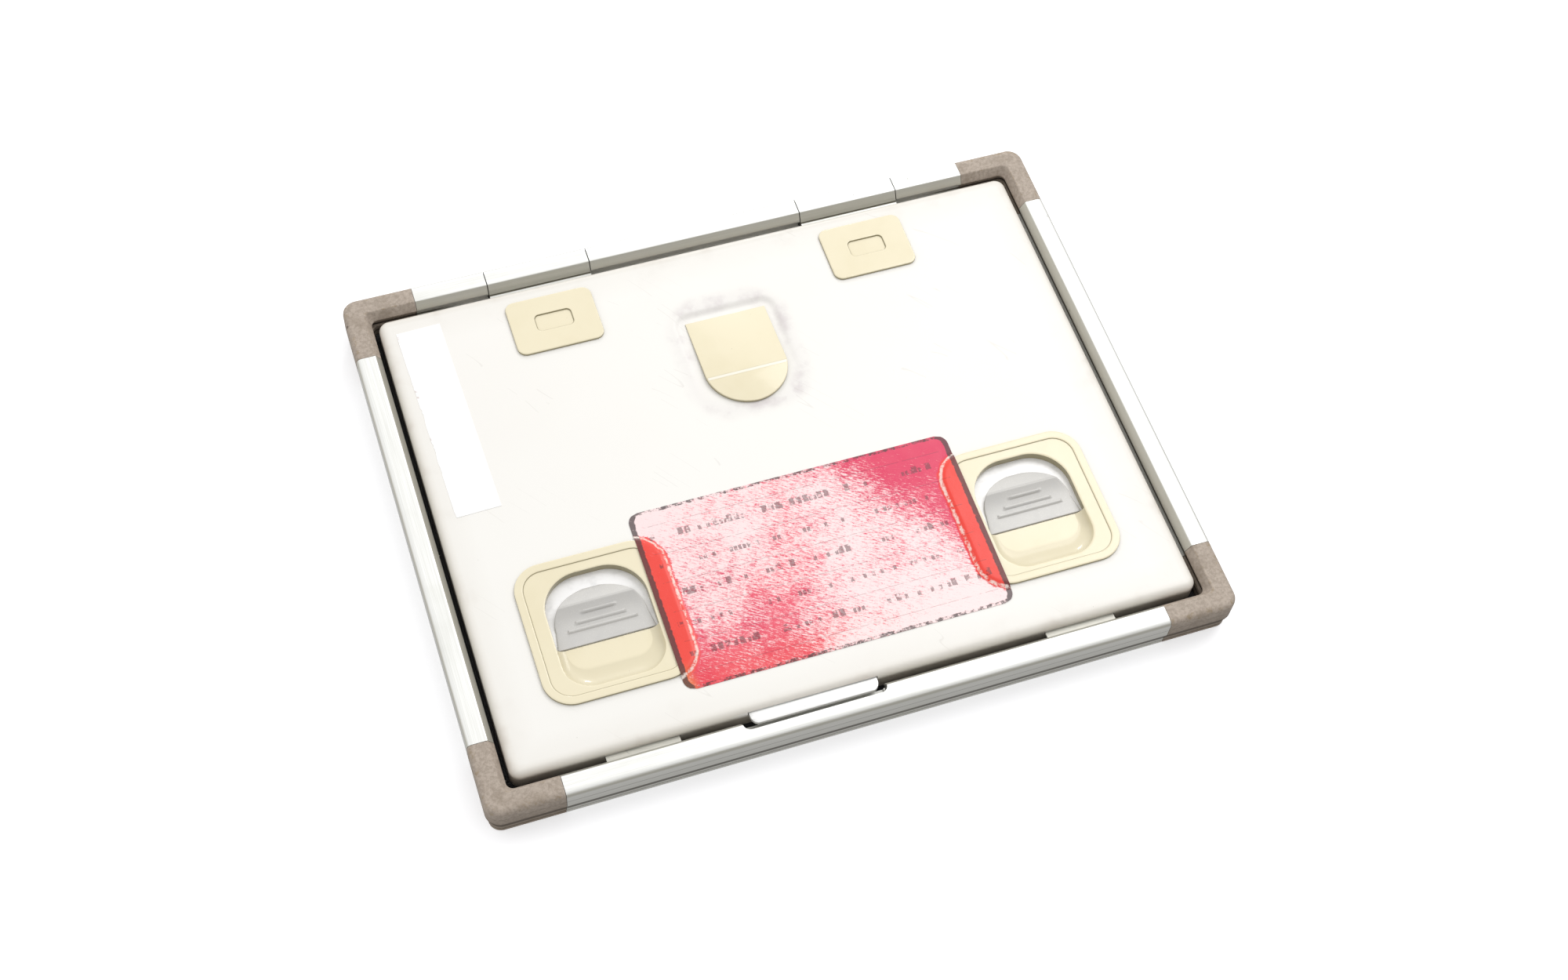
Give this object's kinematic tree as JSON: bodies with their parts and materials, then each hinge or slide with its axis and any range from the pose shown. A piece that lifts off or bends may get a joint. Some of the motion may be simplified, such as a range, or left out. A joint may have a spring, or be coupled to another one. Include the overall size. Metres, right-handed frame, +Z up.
{
  "type": "radiographic film cassette",
  "caption": "Flat light-tight cassette for X-ray film: aluminium rails with moulded corners, hinged back lid with sliding latches, foam pad, lead foil and intensifying screens.",
  "frame": {"origin": "centre of the footprint, on the surface that the cassette lies on, tube side down", "axes": "+X along the long side, +Y towards the hinge, +Z up through the back lid"},
  "size_m": [0.272, 0.214, 0.0165],
  "materials": {
    "anodised_aluminium": "satin anodised extrusion, greenish grey on the flanks",
    "bright_aluminium": "bright rolled sheet",
    "steel": "plain steel",
    "taupe_plastic": "matte taupe moulding, stained and nicked",
    "lid_paint": "warm white stoved paint on pressed aluminium sheet, lightly specked",
    "ivory_plastic": "semi-gloss ivory moulding",
    "grey_plastic": "silver-grey satin moulding",
    "black_felt": "short black pile",
    "panel_paint": null,
    "screen_white": "smooth off-white phosphor screen",
    "foam": "fine-celled dark foam",
    "lead": "dull lead foil",
    "label_foil": null,
    "label_paper": "blank white label"
  },
  "bodies": {
    "frame": {"rail_front": "anodised_aluminium", "rail_hinge": "anodised_aluminium", "rail_left": "anodised_aluminium", "rail_right": "anodised_aluminium", "corner_front_left": "taupe_plastic", "corner_front_right": "taupe_plastic", "corner_hinge_left": "taupe_plastic", "corner_hinge_right": "taupe_plastic", "front_panel": "panel_paint", "front_screen": "screen_white", "light_seal_front": "black_felt", "light_seal_hinge": "black_felt", "light_seal_left": "black_felt", "light_seal_right": "black_felt", "hinge_pin_left": "steel", "hinge_pin_right": "steel"},
    "lid": {"lid_panel": "lid_paint", "inner_plate": "bright_aluminium", "lead_foil": "lead", "pressure_pad": "foam", "back_screen": "screen_white", "hinge_leaf_left": "anodised_aluminium", "hinge_leaf_right": "anodised_aluminium", "hinge_rivet_left_a": "steel", "hinge_rivet_left_b": "steel", "hinge_rivet_right_a": "steel", "hinge_rivet_right_b": "steel", "hinge_cover_left": "ivory_plastic", "hinge_cover_right": "ivory_plastic", "centre_tab": "ivory_plastic", "latch_bezel_left": "ivory_plastic", "latch_bezel_right": "ivory_plastic", "latch_guide_left": "bright_aluminium", "latch_guide_right": "bright_aluminium", "latch_spring_left": "steel", "latch_spring_right": "steel", "lift_tongue": "bright_aluminium", "form_label": "label_foil", "blank_label": "label_paper"},
    "latch_left": {"latch_slider_left": "grey_plastic", "latch_bolt_left": "steel"},
    "latch_right": {"latch_slider_right": "grey_plastic", "latch_bolt_right": "steel"}
  },
  "joints": [
    {"name": "lid_hinge", "type": "hinge", "parent": "frame", "child": "lid", "pos_m": [0, 0.1037, 0.0128], "axis": [-1, 0, 0], "range_deg": [0, 110]},
    {"name": "latch_left_slide", "type": "slide", "parent": "lid", "child": "latch_left", "axis": [0, 1, 0], "range_m": [0, 0.005], "stiffness_N_per_m": 300, "springref_m": -0.003, "deforming": ["latch_spring_left"]},
    {"name": "latch_right_slide", "type": "slide", "parent": "lid", "child": "latch_right", "axis": [0, 1, 0], "range_m": [0, 0.005], "stiffness_N_per_m": 300, "springref_m": -0.003, "deforming": ["latch_spring_right"]}
  ]
}
